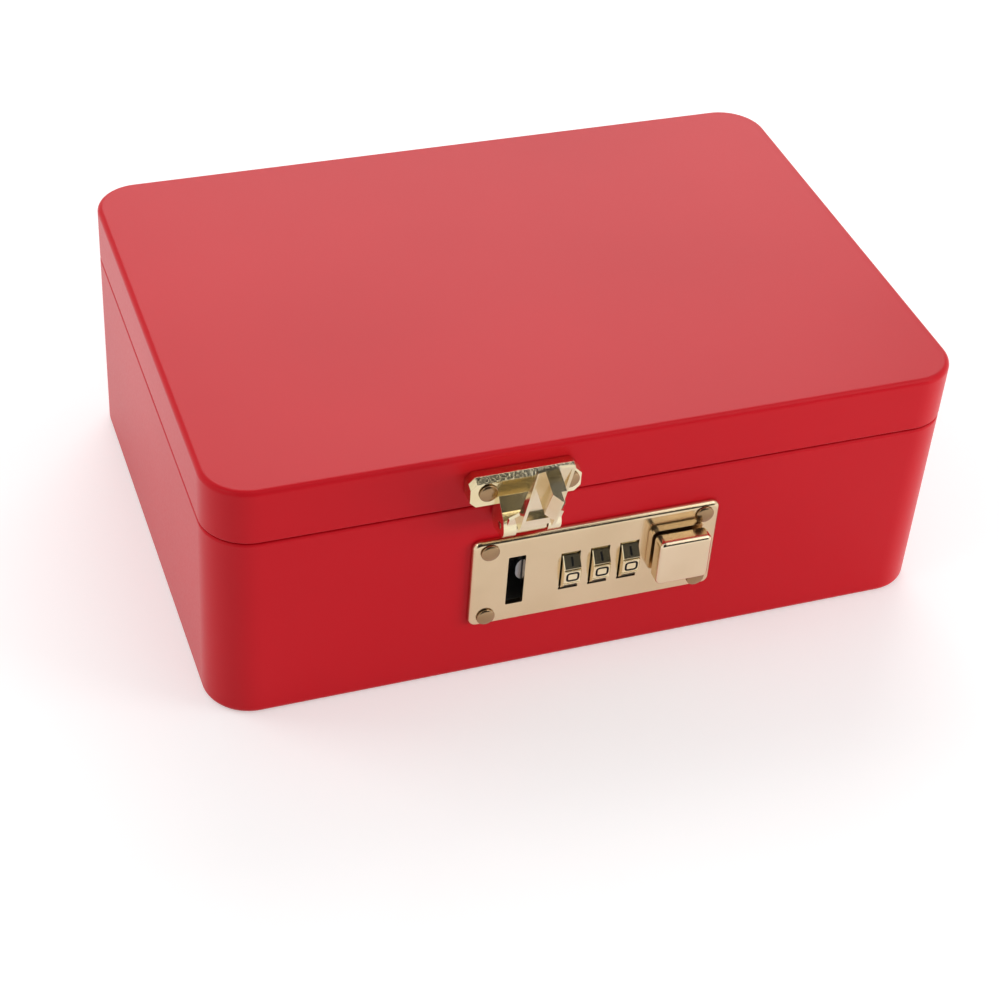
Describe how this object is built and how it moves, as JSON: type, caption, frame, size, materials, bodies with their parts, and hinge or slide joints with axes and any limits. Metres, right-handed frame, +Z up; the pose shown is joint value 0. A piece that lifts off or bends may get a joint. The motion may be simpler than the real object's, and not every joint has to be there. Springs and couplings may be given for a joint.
{
  "type": "medication lock box",
  "caption": "Pressed steel box with a flush hinged lid, a sprung front hasp and a number lock with turning wheels and a sliding square button.",
  "frame": {"origin": "centre of the flat underside", "axes": "+X to the right seen from the front, +Y to the back, +Z up; the lock is on the -Y side"},
  "size_m": [0.25, 0.2124, 0.1039],
  "materials": {
    "red_paint": "satin red powder coat",
    "pale_brass": "polished pale brass plate",
    "warm_brass": "polished warm brass plate",
    "nickel": "polished nickel plate",
    "zinc": "bare die-cast zinc",
    "spring_steel": "bright spring steel"
  },
  "bodies": {
    "base": {"base_shell": "red_paint", "hinge_base_leaf_left": "red_paint", "hinge_base_leaf_right": "red_paint", "hinge_pin_left": "nickel", "hinge_pin_right": "nickel", "base_leaf_rivet_1": "red_paint", "base_leaf_rivet_2": "red_paint", "base_leaf_rivet_3": "red_paint", "base_leaf_rivet_4": "red_paint", "lock_plate": "pale_brass", "lock_rivet_1": "nickel", "lock_rivet_2": "nickel", "lock_rivet_3": "nickel", "lock_rivet_4": "nickel", "lock_case": "zinc", "lock_back_cover": "zinc", "cover_screw_1": "spring_steel", "cover_screw_2": "spring_steel", "cover_screw_3": "spring_steel", "cover_screw_4": "spring_steel", "detent_spring": "spring_steel", "return_spring": "spring_steel"},
    "lid": {"lid_shell": "red_paint", "hinge_lid_leaf_left": "red_paint", "hinge_lid_leaf_right": "red_paint", "lid_leaf_rivet_1": "red_paint", "lid_leaf_rivet_2": "red_paint", "lid_leaf_rivet_3": "red_paint", "lid_leaf_rivet_4": "red_paint", "hasp_bracket": "warm_brass", "hasp_rivet_1": "nickel", "hasp_rivet_2": "nickel", "hasp_pin": "nickel", "hasp_spring": "spring_steel"},
    "hasp": {"hasp_flap": "warm_brass"},
    "bolt": {"bolt_shaft": "spring_steel", "bolt_blade": "spring_steel", "button_slider": "zinc", "button_cap": "warm_brass"},
    "dial_1": {"number_wheel_1": "warm_brass", "clutch_sleeve_1": "zinc"},
    "dial_2": {"number_wheel_2": "warm_brass", "clutch_sleeve_2": "zinc"},
    "dial_3": {"number_wheel_3": "warm_brass", "clutch_sleeve_3": "zinc"},
    "lever": {"change_lever": "zinc"}
  },
  "joints": [
    {"name": "lid_hinge", "type": "hinge", "parent": "base", "child": "lid", "pos_m": [0, 0.0903, 0.07105], "axis": [-1, 0, 0], "range_deg": [0, 105]},
    {"name": "hasp_hinge", "type": "hinge", "parent": "lid", "child": "hasp", "pos_m": [-0.0271, -0.0955, 0.069], "axis": [1, 0, 0], "range_deg": [0, 156.5], "stiffness_Nm_per_rad": 0.004},
    {"name": "bolt_slide", "type": "slide", "parent": "base", "child": "bolt", "axis": [1, 0, 0], "range_m": [-0.0019, 0.003], "stiffness_N_per_m": 300, "deforming": ["return_spring"]},
    {"name": "lever_slide", "type": "slide", "parent": "base", "child": "lever", "axis": [0, 0, 1], "range_m": [0, 0.0025]},
    {"name": "dial_1_spin", "type": "hinge", "parent": "base", "child": "dial_1", "pos_m": [-0.00882, -0.0841, 0.0393], "axis": [1, 0, 0], "continuous": true},
    {"name": "dial_2_spin", "type": "hinge", "parent": "base", "child": "dial_2", "pos_m": [0.00125, -0.0841, 0.0393], "axis": [1, 0, 0], "continuous": true},
    {"name": "dial_3_spin", "type": "hinge", "parent": "base", "child": "dial_3", "pos_m": [0.01132, -0.0841, 0.0393], "axis": [1, 0, 0], "continuous": true}
  ]
}
